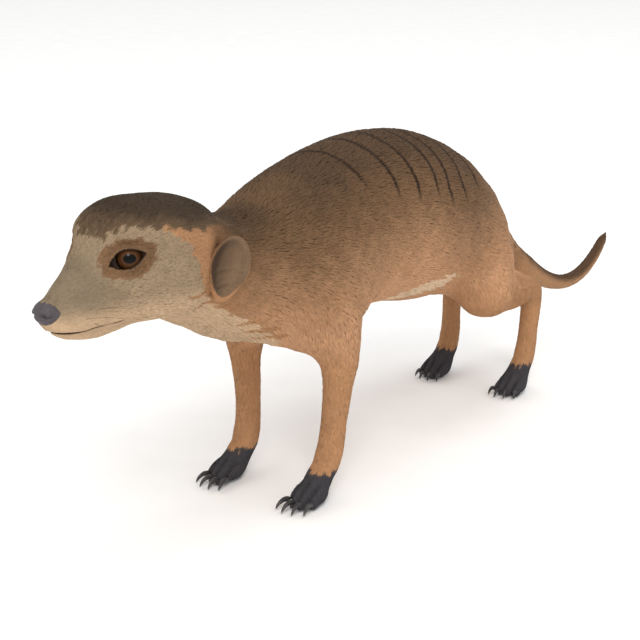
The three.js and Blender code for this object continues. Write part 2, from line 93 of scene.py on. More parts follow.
def make_camera():
    data = bpy.data.cameras.new("camera")
    data.lens = FOCAL_LENGTH
    data.sensor_width = SENSOR_WIDTH
    data.clip_start = 0.01
    camera = bpy.data.objects.new("camera", data)
    aim = middle_of(CAD_BOX) + AIM
    back = Vector((
        math.sin(AZIMUTH) * math.cos(ELEVATION),
        -math.cos(AZIMUTH) * math.cos(ELEVATION),
        math.sin(ELEVATION),
    ))
    look(camera, aim + back * DISTANCE, aim)
    bpy.context.scene.camera = camera


def make_studio():
    for name, place, width, power, colour in LIGHTS:
        data = bpy.data.lights.new(name, "AREA")
        data.shape = "DISK"
        data.size = width
        data.energy = power
        data.color = colour
        look(bpy.data.objects.new(name, data), place, middle_of(CAD_BOX))
    world = bpy.data.worlds.new("studio")
    world.use_nodes = True
    background = world.node_tree.nodes["Background"]
    background.inputs["Color"].default_value = (1, 1, 1, 1)
    background.inputs["Strength"].default_value = ROOM_LIGHT
    bpy.context.scene.world = world
    bpy.context.scene.view_settings.view_transform = "Standard"
    make_floor()


def make_floor():
    bpy.ops.mesh.primitive_circle_add(vertices=96, radius=FLOOR_RADIUS, fill_type="NGON")
    floor = bpy.context.object
    floor.name = "floor"
    shades = [(0.3, (0.90, 0.90, 0.89)), (0.7, (0.93, 0.93, 0.92))]
    floor.data.materials.append(grained("floor_paint", 0.85, 0.1, (40, 3), shades)[0])
    floor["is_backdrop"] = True


# ---- Shader helpers ----


def new_material(name, roughness=0.6, specular=0.3):
    material = bpy.data.materials.new(name)
    material.use_nodes = True
    tree = material.node_tree
    shader = tree.nodes["Principled BSDF"]
    shader.inputs["Roughness"].default_value = roughness
    shader.inputs["Specular IOR Level"].default_value = specular
    return material, tree, shader


def grained(name, roughness, specular, grain, shades):
    """A material whose colour wanders between a few shades."""
    material, tree, shader = new_material(name, roughness, specular)
    tone = colour_ramp(tree, noise(tree, *grain), shades)
    tree.links.new(tone, shader.inputs["Base Color"])
    return material, tree, shader


def node(tree, kind, links=(), **settings):
    made = tree.nodes.new(kind)
    for key, value in settings.items():
        setattr(made, key, value)
    for slot, value in dict(links).items():
        if isinstance(value, bpy.types.NodeSocket):
            tree.links.new(value, made.inputs[slot])
        else:
            made.inputs[slot].default_value = value
    return made


def position(tree):
    return node(tree, "ShaderNodeTexCoord").outputs["Object"]


def noise(tree, scale, detail=2.0, vector=None, rough=0.5):
    links = {"Scale": scale, "Detail": detail, "Roughness": rough, "Vector": vector or position(tree)}
    return node(tree, "ShaderNodeTexNoise", links).outputs["Fac"]


def colour_ramp(tree, factor, stops):
    """Colours, or single numbers for greys, at their places along the factor."""
    made = node(tree, "ShaderNodeValToRGB", {"Fac": factor})
    ramp = made.color_ramp
    while len(ramp.elements) < len(stops):
        ramp.elements.new(0.5)
    for element, (place, colour) in zip(ramp.elements, stops):
        element.position = place
        element.color = (*(np.ones(3) * colour), 1)
    return made.outputs["Color"]


def mix(tree, factor, a, b, blend="MIX"):
    links = {0: factor, 6: a, 7: b}
    return node(tree, "ShaderNodeMix", links, data_type="RGBA", blend_type=blend).outputs[2]


def math_node(tree, operation, a, b=0.0, c=0.0, clamp=False):
    links = {0: a, 1: b, 2: c}
    return node(tree, "ShaderNodeMath", links, operation=operation, use_clamp=clamp).outputs[0]


def attribute(tree, name, kind="Vector"):
    return node(tree, "ShaderNodeAttribute", attribute_name=name).outputs[kind]


def parts_of(tree, vector):
    return node(tree, "ShaderNodeSeparateXYZ", {0: vector}).outputs


def bump(tree, shader, height, strength, distance):
    links = {"Height": height, "Strength": strength, "Distance": distance}
    made = node(tree, "ShaderNodeBump", links)
    tree.links.new(made.outputs["Normal"], shader.inputs["Normal"])


# ---- The flesh as one field ----

VOXEL = 0.5  # millimetres
GRID = openvdb.createLinearTransform(voxelSize=VOXEL)
BAND = 4  # voxels over which a node's distances reach
PAD = 4.0  # millimetres of air round the model
CLOSE = 0.2  # closes the gaps between the CAD nodes
EDGE_BLUR, CALM_BLUR, BROAD_BLUR = 1.6, 3.2, 6.0  # in voxels
FLESH = [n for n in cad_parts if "claw" not in n and not n.startswith("eye")]


def smooth(x, a, b):
    """0 at a and before it, 1 at b and past it, and an easy slope between them."""
    t = np.clip((x - a) / (b - a), 0, 1)
    return t * t * (3 - 2 * t)


def bell(x, width):
    return np.exp(-((x / width) ** 2))


def height_of(line, place):
    """The height of a line of (place, height) points, level past its ends."""
    places, heights = zip(*line)
    return np.interp(place, places, heights)


def unit(v):
    return v / np.maximum(np.linalg.norm(v, axis=-1, keepdims=True), 1e-9)


def node_triangles(name):
    """A CAD node's points, each of them once, and its triangles."""
    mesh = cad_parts[name].data
    co = np.empty(len(mesh.vertices) * 3, np.float32)
    mesh.vertices.foreach_get("co", co)
    mesh.calc_loop_triangles()
    corners = np.empty(len(mesh.loop_triangles) * 3, np.int32)
    mesh.loop_triangles.foreach_get("vertices", corners)
    co = np.round(co.reshape(-1, 3) * MM - START, 3)
    points, merged = np.unique(co, axis=0, return_inverse=True)
    return points.astype(np.float32), merged.reshape(-1)[corners].reshape(-1, 3).astype(np.uint32)


class Field:
    """Distances on a regular grid, in millimetres."""

    def __init__(self, low, values):
        self.low = np.asarray(low)
        self.values = values

    def axis(self, k):
        return (self.low[k] + np.arange(self.values.shape[k])) * VOXEL

    def at(self, points):
        spot = np.clip(points / VOXEL - self.low, 0, np.array(self.values.shape) - 1.001)
        base = spot.astype(np.int32)
        fx, fy, fz = (spot - base).astype(np.float32).T
        i, j, k = base.T
        levels = []
        for up in (k, k + 1):
            near, far = (
                self.values[i, back, up] * (1 - fx) + self.values[i + 1, back, up] * fx
                for back in (j, j + 1)
            )
            levels.append(near * (1 - fy) + far * fy)
        return levels[0] * (1 - fz) + levels[1] * fz


def slope(field_at, points, step):
    out = np.empty_like(points)
    for k in range(3):
        move = np.zeros(3, points.dtype)
        move[k] = step
        out[:, k] = field_at(points + move) - field_at(points - move)
    return out / (2 * step)


def blurred(values, sigma):
    """A Gaussian blur as three passes of a running mean along each axis."""
    half = max(1, round((math.sqrt(1 + 4 * sigma * sigma) - 1) / 2))
    width = 2 * half + 1
    for k in range(3):
        for _ in range(3):
            edge = [(0, 0)] * 3
            edge[k] = (half + 1, half)
            total = np.cumsum(np.pad(values, edge, mode="edge"), axis=k, dtype=np.float32)
            n = values.shape[k]
            head = np.take(total, range(width, width + n), axis=k)
            tail = np.take(total, range(0, n), axis=k)
            values = (head - tail) / width
    return values


def flesh_field():
    """All the flesh nodes but the ears as one closed solid's distances."""
    grid_of = openvdb.FloatGrid.createLevelSetFromPolygons
    low = np.floor((np.array(CAD_BOX[0]) * MM - START - PAD) / VOXEL).astype(int)
    high = np.ceil((np.array(CAD_BOX[1]) * MM - START + PAD) / VOXEL).astype(int)
    union = np.full(tuple(high - low + 1), BAND * VOXEL, np.float32)
    for name in FLESH:
        if name.startswith("ear"):
            continue
        points, triangles = node_triangles(name)
        grid = grid_of(points, triangles=triangles, transform=GRID, halfWidth=BAND)
        first = np.maximum(np.floor(points.min(0) / VOXEL).astype(int) - BAND - 1, low)
        last = np.minimum(np.ceil(points.max(0) / VOXEL).astype(int) + BAND + 1, high)
        part = np.empty(tuple(last - first + 1), np.float32)
        grid.copyToArray(part, ijk=tuple(int(v) for v in first))
        window = tuple(slice(a, b) for a, b in zip(first - low, last - low + 1))
        union[window] = np.minimum(union[window], part)
    points, triangles, quads = vdb_grid(Field(low, union)).convertToPolygons(isovalue=CLOSE)
    closed = grid_of(points, triangles=triangles, quads=quads, transform=GRID, halfWidth=2 * BAND)
    closed.copyToArray(union, ijk=tuple(int(v) for v in low))
    return Field(low, union + CLOSE)


def vdb_grid(field):
    grid = openvdb.FloatGrid(float(field.values.max()))
    grid.copyFromArray(field.values, ijk=tuple(int(v) for v in field.low))
    grid.transform = GRID
    return grid


# How far the skin lies inside the outline, along the body and up the legs.
DEPTH_ALONG = (
    (-200, 0), (-188, 0.05), (-178, 0.1), (-160, 0.25), (-145, 0.25), (-112, 0.3),
    (-92, 0.7), (88, 0.7), (120, 0.5), (150, 0.25), (185, 0),
)
DEPTH_UP = ((0, 0.15), (12, 0.2), (40, 0.35), (58, 0.5), (75, 0.7))
NO_LEGS = 3  # takes the neck and the tail out of the legs' depths


def coat_depth(y, z):
    legs = height_of(DEPTH_UP, z)
    legs = legs + NO_LEGS * smooth(y, 84, 98) + NO_LEGS * smooth(y, -112, -124)
    return np.minimum(height_of(DEPTH_ALONG, y), legs) - filled(y, z)


# Where melting the edges draws a ridge in or fills a hollow: millimetres put back, then
# where that sets in, is full, is still full and ends, along the body and up it.
FILLED = (
    (1.0, (-140, -122, -104, -92), (0, 1, 72, 84)),  # under the neck
    (-0.5, (-172, -164, -150, -140), (80, 84, 88, 91)),  # behind the jaw
    (0.5, (-194, -188, -174, -168), (97, 103, 140, 150)),  # bridge of the nose
    (0.4, (-193, -189, -178, -172), (0, 1, 86.5, 89)),  # chin
    (0.4, (-178, -170, -160, -148), (106, 114, 140, 150)),  # crown
    (0.4, (-146, -138, -132, -126), (106, 112, 140, 150)),  # back of the crown
    (0.9, (16, 30, 52, 66), (38, 46, 54, 64)),  # thigh
    (0.8, (-44, -32, 0, 10), (0, 1, 68, 76)),  # belly
    (0.7, (10, 26, 42, 58), (88, 98, 108, 118)),  # top of the rump
    (-0.7, (24, 38, 50, 66), (68, 82, 87, 98)),  # side of the rump
    (-0.7, (60, 72, 98, 108), (46, 54, 76, 82)),  # root of the tail
    (0.7, (-108, -88, -4, 14), (106, 116, 140, 150)),  # back
)


def filled(y, z):
    total = 0
    for height, (a, b, c, d), (e, f, g, h) in FILLED:
        part = height * smooth(y, a, b) * smooth(y, d, c)
        total = total + part * smooth(z, e, f) * smooth(z, h, g)
    return total


def base_field():
    """The flesh with the edges of its facets melted, drawn in by the coat's depth."""
    closed = flesh_field()
    y = closed.axis(1)[:, None]
    z = closed.axis(2)[None, :]
    # Calmer on the bridge of the nose and over the trunk, less so on the chest.
    snout = smooth(y, -188, -170) * np.maximum(smooth(z, 92, 98), smooth(y, -170, -152))
    calm = np.where(y < -115, snout, smooth(z, 14, 28) * smooth(y, 160, 110))
    calm = calm * (1 - 0.65 * smooth(y, -50, -60) * smooth(z, 46, 54) * smooth(z, 84, 72))
    # Calmest over the shoulders and the back.
    broad = smooth(y, -124, -100) * smooth(y, 30, 5) * smooth(z, 68, 88)
    calm, broad = calm.astype(np.float32), broad.astype(np.float32)
    values = blurred(closed.values, EDGE_BLUR)
    values += (blurred(closed.values, CALM_BLUR) - values) * calm
    values += (blurred(closed.values, BROAD_BLUR) - values) * broad
    values += coat_depth(y, z).astype(np.float32)
    # The hollow of the chest between the forelegs.
    hollow = 2 * smooth(np.abs(closed.axis(0)), 12, 6)[:, None, None]
    hollow = hollow * smooth(y, -114, -104) * smooth(y, -78, -92) * smooth(z, 72, 64)
    values += hollow.astype(np.float32)
    return Field(closed.low, values)


# ---- Features of the head and the paws ----


def place_of(name):
    return np.array(middle_of(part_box(name))) * MM - START


EYE = place_of("eye_left")
EYE_RADIUS = (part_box("eye_left")[1].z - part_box("eye_left")[0].z) * MM / 2
AHEAD = unit(np.array([0.74, -0.64, 0.2]))  # the way the left eye looks
ACROSS = unit(np.cross([0, 0, 1], AHEAD))
UP = np.cross(AHEAD, ACROSS)
LIDS = dict(slant=0.27, middle=-0.9, half=5.9, upper=2.95, lower=2.8, curve=1.9, floor=2.0)
NOSE = place_of("nose")
NOSE_SIZE = np.array([4.05, 3.95, 3.75])
# From, to and radius, out of, back along and up from the middle of the nose.
NOSTRIL = ((1.8, -3.7, -0.5), (2.2, -2.6, -0.3), 0.56)
SLIT = ((2.3, -3.2, -0.9), (4.0, -0.8, -0.7), 0.34)
WING = ((3.3, -2.6, 0.3), (3.9, -0.6, 0.6), 0)
EAR = place_of("ear_left")
EAR_SIZE = np.array([3.4, 7.2, 11.2])
EAR_BOWL = dict(at=np.array([3.2, -1.0, 0.5]), size=np.array([4.3, 6.2, 9.8]))
EAR_FOLDS = ((-4.6, 1.0), (0.4, 0.7))  # place up the bowl and height
EAR_TURN = (-0.42, -0.12, -0.42)  # about x, then y, then z
MOUTH_LINE = (
    (-211, 90.3), (-193.8, 90.1), (-190.8, 89.7), (-186.1, 89.3),
    (-179.7, 90), (-177, 90.8), (-174, 91.6), (-168, 92.5),
)
# The mouth and the lips over and under it: height over its line, half width and depth.
MOUTH_FOLDS = ((0, 0.42, 0.7), (1.0, 0.7, -0.22), (-0.9, 0.6, -0.12))
HEAD_BOX = np.array([[-30.0, -202, 74], [30, -118, 130]])
GROOVE_WIDTH, GROOVE_DEPTH, GROOVE_TOP = 0.75, 1.5, 10  # between the toes


def smooth_min(a, b, k):
    """The lesser of two distances, rounded where they meet."""
    h = np.clip(0.5 + 0.5 * (b - a) / k, 0, 1)
    return b + (a - b) * h - k * h * (1 - h)


def smooth_max(a, b, k):
    return -smooth_min(-a, -b, k)


def far(p, place=0):
    return np.linalg.norm(p - place, axis=-1)


def ellipsoid(p, size):
    """Distance from an ellipsoid about the origin, nearly."""
    inner = far(p / size)
    return inner * (inner - 1) / np.maximum(far(p / size**2), 1e-6)


def beside(p, a, b):
    """Distance from the line between a and b, and how far along it, from 0 to 1."""
    a, b = np.asarray(a, float), np.asarray(b, float)
    t = np.clip((p - a) @ (b - a) / ((b - a) @ (b - a)), 0, 1)
    return far(p - a, t[:, None] * (b - a)), t


def capsule(p, a, b, radius):
    return beside(p, a, b)[0] - radius


def turn(axis, angle):
    c, s = math.cos(angle), math.sin(angle)
    i, j = (axis + 1) % 3, (axis + 2) % 3
    out = np.eye(3)
    out[i, i] = out[j, j] = c
    out[i, j], out[j, i] = -s, s
    return out


EAR_BASIS = turn(2, EAR_TURN[2]) @ turn(1, EAR_TURN[1]) @ turn(0, EAR_TURN[0])


def ear_local(p):
    """Out of, back along and up the left ear, which narrows towards its lobe."""
    q = (p - EAR + [0, 0, 1.2]) @ EAR_BASIS
    q[:, 1] *= 1 + 0.3 * smooth(q[:, 2], 1, -10)
    return q


def ear_shape(p):
    """Distance from the left ear: a flat shell with a bowl and two folds in it."""
    q = ear_local(p)
    bowl = ellipsoid(q - EAR_BOWL["at"], EAR_BOWL["size"])
    for place, height in EAR_FOLDS:
        ridge = bell(q[:, 2] - place - 0.5 * q[:, 1], 1.0)
        bowl = bowl + height * ridge * smooth(q[:, 1], -6, -2.5) * smooth(q[:, 1], 4.5, 0)
    return smooth_max(ellipsoid(q, EAR_SIZE), -bowl, 0.5)


def eye_local(p):
    """Across and up over the face of the eye along its slant, and out along its look."""
    q = p - EYE
    across, up, out = q @ ACROSS, q @ UP, q @ AHEAD
    c, s = math.cos(LIDS["slant"]), math.sin(LIDS["slant"])
    return across * c + up * s - LIDS["middle"], -across * s + up * c, out


def lid_gap(p):
    """Distance from the edge of the opening between the lids, negative within it."""
    u, v, _ = eye_local(p)
    share = np.clip(np.abs(u) / LIDS["half"], 0, 1.4)
    tall = np.where(v > 0, LIDS["upper"], LIDS["lower"])
    edge = tall * (1 - share ** LIDS["curve"])
    lean = tall * LIDS["curve"] * share ** (LIDS["curve"] - 1) / LIDS["half"]
    return (np.abs(v) - edge) / np.sqrt(1 + lean * lean)


def lips_at(p):
    """Height over the line of the mouth, and the share of lip there."""
    return p[:, 2] - height_of(MOUTH_LINE, p[:, 1]), smooth(p[:, 1], -173, -176)


def features(points, flesh):
    """Lids, ears, nose and mouth worked into the flesh's field."""
    p = mirrored(points)
    d = smooth_min(flesh.astype(float), ellipsoid(p - NOSE, NOSE_SIZE), 0.7)
    d = with_lids(d, p)
    d = smooth_min(d, ear_shape(p), 1.4)
    rise, lips = lips_at(p)
    for height, width, depth in MOUTH_FOLDS:
        d = d + depth * lips * bell(rise - height, width)
    return with_nostrils(d, p)


def with_lids(d, p):
    """The swell of the eyeball, and the lids with their edges and creases."""
    eye_far = far(p, EYE)
    d = d - (coat_depth(p[:, 1], p[:, 2]) - 0.15) * smooth(eye_far, 13, 7)
    d = smooth_min(d, eye_far - EYE_RADIUS - 0.62, 1.2)
    gap = lid_gap(p)
    u, v, out = eye_local(p)
    front = smooth(out, 0, 2.5)
    d = d + 0.2 * bell(gap - 2.0, 0.4) * front * np.where(v > 0, 1, 0.6)
    d = d - 0.18 * bell(gap - 0.55, 0.5) * front
    floor = LIDS["floor"] + 2.3 * smooth(np.abs(u), 4.3, 6.2)
    return smooth_max(d, -np.maximum(gap, floor - out), 0.3)


def with_nostrils(d, p):
    """The leather's edge, the comma of the nostril and the line below the nose."""
    q = p - NOSE
    d = d - 0.25 * bell(capsule(q, *WING), 0.7)
    d = smooth_max(d, -smooth_min(capsule(q, *NOSTRIL), capsule(q, *SLIT), 0.4), 0.35)
    below = smooth(q[:, 2], -0.8, -1.6) * smooth(p[:, 1], -189, -194)
    d = d + 0.2 * bell(p[:, 0], 0.3) * below
    return d + 0.22 * bell(nose_edge(p), 0.35) * smooth(q[:, 1], 3.5, 2.5)


def nose_edge(p):
    """Distance past the edge of the bare leather of the nose, negative on it."""
    q = p - NOSE
    return q[:, 1] - (1.6 - 0.33 * np.abs(q[:, 2] - 0.3) ** 1.6)


def carve(field):
    """The base field with the features worked in where the head is."""
    low, high = (HEAD_BOX / VOXEL).astype(int)
    first = np.maximum(low - field.low, 0)
    last = np.minimum(high - field.low, np.array(field.values.shape))
    window = tuple(slice(a, b) for a, b in zip(first, last))
    axes = [field.axis(k)[window[k]] for k in range(3)]
    points = np.stack(np.meshgrid(*axes, indexing="ij"), -1).reshape(-1, 3)
    values = field.values.copy()
    part = values[window]
    values[window] = features(points, part.reshape(-1)).reshape(part.shape)
    return Field(field.low, values)


def part_toes(field):
    """Grooves between the toes, which lie between one claw and the next."""
    toes = [place_of(f"fore_claw_left_{k}")[0] for k in range(1, 5)]
    x = np.abs(field.axis(0))[:, None, None]
    y = field.axis(1)[None, :, None]
    z = field.axis(2)[field.axis(2) < GROOVE_TOP]
    gaps = [(a + b) / 2 for a, b in zip(toes, toes[1:])]
    groove = GROOVE_DEPTH * sum(bell(x - gap, GROOVE_WIDTH) for gap in gaps)
    along = smooth(y, -85, -90) * (y > -105) + smooth(y, 64, 59) * (y > 45)
    field.values[:, :, : len(z)] += groove * along * smooth(z, GROOVE_TOP, 7)


# ---- Meshes from fields ----

ADAPTIVITY = 0.02  # lets flat stretches of the skin have larger triangles
FINE_SIDE = 0.45  # longest side of a triangle on the features


def triangulated(points, triangles, quads):
    corners = np.concatenate([triangles, quads[:, [0, 1, 2]], quads[:, [0, 2, 3]]]).astype(np.int64)
    a, b, c = points[corners.T]
    if np.sum(a * np.cross(b, c)) < 0:
        corners = corners[:, ::-1]
    return np.ascontiguousarray(corners)


def largest_piece(points, corners):
    label = np.arange(len(points))
    while True:
        least = label[corners].min(1)
        new = label.copy()
        for k in range(3):
            np.minimum.at(new, corners[:, k], least)
        new = new[new]
        if (new == label).all():
            break
        label = new
    names, counts = np.unique(label[corners[:, 0]], return_counts=True)
    corners = corners[label[corners[:, 0]] == names[counts.argmax()]]
    used, corners = np.unique(corners, return_inverse=True)
    return points[used], corners.reshape(-1, 3)


def refined(points, corners, chosen, normals=None):
    """Splits the chosen triangles in four, and their neighbours to match."""
    sides = np.sort(corners[:, [[0, 1], [1, 2], [2, 0]]], axis=-1)
    key = sides[..., 0] * len(points) + sides[..., 1]
    wanted = np.unique(key[chosen])
    spot = np.minimum(np.searchsorted(wanted, key), len(wanted) - 1)
    split = wanted[spot] == key
    middle = np.where(split, spot + len(points), -1)
    ends = np.stack([wanted // len(points), wanted % len(points)], 1)
    middles = points[ends].mean(1)
    if normals is not None:
        span = points[ends[:, 1]] - points[ends[:, 0]]
        for k, way in ((0, span), (1, -span)):
            n = normals[ends[:, k]]
            middles -= (way * n).sum(1, keepdims=True) * n / 8
    points = np.concatenate([points, middles])
    out = [corners[split.sum(1) == 0]]
    whole = split.sum(1) == 3
    (a, b, c), (ab, bc, ca) = corners[whole].T, middle[whole].T
    out += [np.stack(t, 1) for t in ((a, ab, ca), (ab, b, bc), (ca, bc, c), (ab, bc, ca))]
    for k in range(3):
        roll = [(k + i) % 3 for i in range(3)]
        one = (split.sum(1) == 1) & split[:, k]
        (a, b, c), ab = corners[one][:, roll].T, middle[one][:, k]
        out += [np.stack(t, 1) for t in ((a, ab, c), (ab, b, c))]
        two = (split.sum(1) == 2) & ~split[:, roll[2]]
        (a, b, c), (ab, bc, _) = corners[two][:, roll].T, middle[two][:, roll].T
        out += [np.stack(t, 1) for t in ((ab, b, bc), (a, ab, c), (ab, bc, c))]
    return points, np.concatenate(out)


def vertex_normals(points, corners):
    a, b, c = points[corners.T]
    face = np.cross(b - a, c - a)
    out = np.zeros_like(points)
    for k in range(3):
        for axis in range(3):
            out[:, axis] += np.bincount(corners[:, k], face[:, axis], len(points))
    return unit(out)


def make_object(name, material, points, corners, colours=None, strand=None, uv=None, shown=None):
    """A smooth mesh object from arrays in millimetres."""
    mesh = bpy.data.meshes.new(name)
    mesh.vertices.add(len(points))
    mesh.vertices.foreach_set("co", ((points + START) / MM).astype(np.float32).ravel())
    mesh.loops.add(corners.size)
    mesh.loops.foreach_set("vertex_index", corners.astype(np.int32).ravel())
    mesh.polygons.add(len(corners))
    mesh.polygons.foreach_set("loop_start", np.arange(0, corners.size, 3, dtype=np.int32))
    mesh.update(calc_edges=True)
    mesh.shade_smooth()
    if colours is not None:
        layer = mesh.color_attributes.new("coat", "FLOAT_COLOR", "POINT")
        rgba = np.column_stack([colours, np.ones(len(points))])
        layer.data.foreach_set("color", rgba.astype(np.float32).ravel())
    if strand is not None:
        layer = mesh.attributes.new("strand", "FLOAT_VECTOR", "POINT")
        layer.data.foreach_set("vector", strand.astype(np.float32).ravel())
    if uv is not None:
        layer = mesh.uv_layers.new(name="OFBake")
        layer.uv.foreach_set("vector", uv.astype(np.float32).ravel())
    if shown is not None:
        mesh.normals_split_custom_set_from_vertices(shown)
    mesh.materials.append(material)
    made = bpy.data.objects.new(name, mesh)
    bpy.context.scene.collection.objects.link(made)
    return made


def near_features(p, closest):
    """Where the skin's mesh is made finer, and closest of all but on the ears."""
    p = mirrored(p)
    gap = lid_gap(p)
    _, _, out = eye_local(p)
    eye = (gap < 3.2) & (out > 0.5) & (far(p, EYE) < 12)
    nose = far(p, NOSE) < 5.2
    lips = (np.abs(lips_at(p)[0]) < 1.3) & (p[:, 1] < -172.5)
    ear = (ellipsoid(ear_local(p), EAR_SIZE) < 0.6) & (np.abs(ear_local(p)[:, 0]) < 4.5)
    return eye | nose | lips | (ear & (not closest))


def settled(points, field_at, step, rounds, least, reach=np.inf):
    """Moves points onto a field's surface, by no more than the reach in a round."""
    for _ in range(rounds):
        g = slope(field_at, points, step)
        move = g * (field_at(points) / np.maximum((g * g).sum(1), least))[:, None]
        share = np.minimum(1, reach / np.maximum(far(move), 1e-6))
        points = points - move * share[:, None]
    return points


def skin_mesh(base, field):
    """The skin's mesh, finer where the head has features."""
    grid = vdb_grid(field)
    points, triangles, quads = grid.convertToPolygons(isovalue=0.0, adaptivity=ADAPTIVITY)
    corners = triangulated(points, triangles, quads)
    points, corners = largest_piece(points.astype(float), corners)
    for closest in (False, True):
        middle = points[corners].mean(1)
        sides = far(points[corners], points[corners[:, [1, 2, 0]]])
        chosen = near_features(middle, closest) & (sides.max(1) > FINE_SIDE)
        points, corners = refined(points, corners, chosen)
    at_head = (points[:, 1] < -119) & (points[:, 2] > 75)
    points[at_head] = settled(points[at_head], lambda p: features(p, base.at(p)), 0.12, 3, 0.2, 0.25)
    return points, corners


# ---- Markings ----


def paint(red, green, blue):
    """A colour as linear light from its usual 0 to 255 numbers."""
    c = np.array([red, green, blue]) / 255
    return np.where(c <= 0.04045, c / 12.92, ((c + 0.055) / 1.055) ** 2.4)


CAP = paint(63, 50, 38)
CAP_EDGE = paint(96, 77, 58)
CREAM = paint(146, 125, 100)
BRIDGE = paint(122, 107, 87)
PALE = paint(194, 164, 132)
ORANGE = paint(164, 121, 86)
BELLY = paint(216, 186, 154)
RING = paint(119, 90, 64)
BACK = paint(84, 64, 46)
FLANK = paint(118, 89, 63)
LOW = paint(188, 142, 106)
LEG = paint(174, 129, 92)
PAW = paint(63, 61, 64)
TAIL_TOP = paint(84, 62, 45)
TAIL_BELOW = paint(170, 128, 92)
TAIL_TIP = paint(82, 60, 43)
EAR_INSIDE = paint(112, 90, 70)
# painted shadow along the front edge of the ear's bowl
EAR_FRONT_SHADOW = paint(66, 50, 40)
EAR_BACK = paint(114, 91, 71)
LEATHER = paint(80, 74, 77)
LID_EDGE = paint(50, 33, 23)
LIP_LINE = paint(78, 50, 38)
STRIPE = paint(52, 38, 27)

# Lines between colours, on the left side: place along the body and height.
CAP_LINE = (
    (-181, 117), (-176.4, 117), (-175.8, 117.8), (-174.3, 118.8), (-171.5, 120.2),
    (-169.5, 120.5), (-165, 118.9), (-159.7, 119), (-154.3, 118), (-151, 116.4),
    (-143, 115.4), (-126, 113.6), (-116, 108),
)
BIB_LINE = (
    (-140, 89), (-135.5, 87.2), (-126.9, 82.2), (-119.2, 78),
    (-110.6, 73.2), (-105.9, 69.9), (-100.9, 66.2), (-97.3, 63),
)
TONE_LINE = (
    (-125, 97), (-90, 98), (-50, 103), (-20, 104), (-5, 101), (12, 96), (40, 94), (95, 84),
)
FACE_LINE = (  # height and place along the body
    (84, -133), (88.7, -138), (95.5, -145.5), (101.3, -148.3),
    (108.1, -150), (113.5, -153.4), (115.1, -157), (118, -160),
)
BACK_FADE, FLANK_FADE = 22, 30  # how far either reaches past the line
RING_SLANT = 0.19
CHEEK_FOLD_SHADE = ((1, -183.4, 108.6), (12.5, -176, 99), 0)  # painted shade down the cheek's fold
# Streaks of orange into the pale cheek and neck: from, to, half width at the start.
STREAKS = (
    ((-142.5, 95.3), (-149, 93.9), 0.9),
    ((-147.5, 94), (-154.5, 95.2), 0.6),
    ((-135.5, 89.8), (-143, 89.6), 1.0),
    ((-142, 89.5), (-144.5, 87), 0.5),
    ((-115, 77.2), (-121.5, 76.8), 1.0),
    ((-106, 72), (-117.5, 73), 1.1),
    ((-101, 68.4), (-111.5, 69), 1.1),
)
# Stripes across the back: place along the body and lowest height.
STRIPES = (
    (-57.5, 114), (-42.5, 108), (-30, 104.5), (-17.5, 104), (-9, 99), (2.3, 99), (16.5, 101),
)


def waves(seed, length):
    """Smooth noise between about -1 and 1: nine plane waves of like length."""
    draw = np.random.default_rng(seed)
    ways = unit(draw.normal(size=(9, 3))) * (2 * math.pi / length)
    ways *= draw.uniform(0.6, 1.6, (9, 1))
    starts = draw.uniform(0, 2 * math.pi, 9)
    return lambda p: np.sin(p @ ways.T + starts).sum(1) / 3


BROAD = waves(1, 46)
PATCHY = waves(2, 9)
RAGGED = waves(3, 2.6)


def blend(base, colour, share):
    return base + (colour - base) * share[:, None]


def mirrored(p):
    return np.column_stack([np.abs(p[:, 0]), p[:, 1], p[:, 2]])


def streak(p, a, b, wide):
    """Distance, seen from the side, from a streak that tapers from a to b."""
    away, along = beside(p[:, 1:], a, b)
    return away - wide * (1 - 0.8 * along)


def markings(p, normals):
    """The colour of the coat at each point, as linear light."""
    p = mirrored(p)
    ragged = 0.8 * RAGGED(p) + 0.5 * PATCHY(p)
    soft = 2.5 * BROAD(p) + 1.2 * PATCHY(p)
    colour = trunk_colour(p, normals, ragged, soft)
    tail = smooth(p[:, 1] + 1.5 * soft, 68, 110)
    colour = blend(colour, tail_colour(p, normals), tail)
    colour = with_neck(colour, p, ragged)
    colour = with_face(colour, p, ragged)
    # The ear's front edge takes a painted shadow, and depth is painted shade, darker towards the
    # bowl's front.
    inside, front, back, depth = ear_parts(p)
    colour = blend(colour, EAR_BACK, back)
    colour = blend(colour, EAR_INSIDE * depth[:, None], inside)
    colour = blend(colour, EAR_FRONT_SHADOW, front)
    sock = p[:, 2] - np.where(p[:, 1] < -40, 11.6, 12.0) - 0.9 * ragged
    colour = blend(colour, PAW, smooth(sock, 0.5, -0.6))
    return colour * (1 + 0.05 * BROAD(p) + 0.03 * PATCHY(p))[:, None]


def trunk_colour(p, normals, ragged, soft):
    """Brown back, tan flank, orange below, and a pale mark by the belly."""
    x, y, z = p.T
    tone = height_of(TONE_LINE, y) + soft
    colour = blend(LOW, FLANK, np.clip((z - tone + FLANK_FADE) / FLANK_FADE, 0, 1))
    colour = blend(colour, BACK, np.clip((z - tone) / BACK_FADE, 0, 1))
    colour = blend(colour, LEG, smooth(z + soft, 62, 48) * smooth(y, 110, 88))
    mark = ((y + 16) / 21) ** 2 + ((z - 65.8 - 0.1 * (y + 16)) / 3.4) ** 2 + 0.5 * ragged
    return blend(colour, BELLY, smooth(mark, 1.1, 0.8) * (x > 6) * (normals[:, 2] < 0.1))


def tail_colour(p, normals):
    colour = blend(TAIL_TOP, TAIL_BELOW, smooth(normals[:, 2], 0.75, -0.2))
    return blend(colour, TAIL_TIP, 0.7 * smooth(p[:, 1], 176, 192))


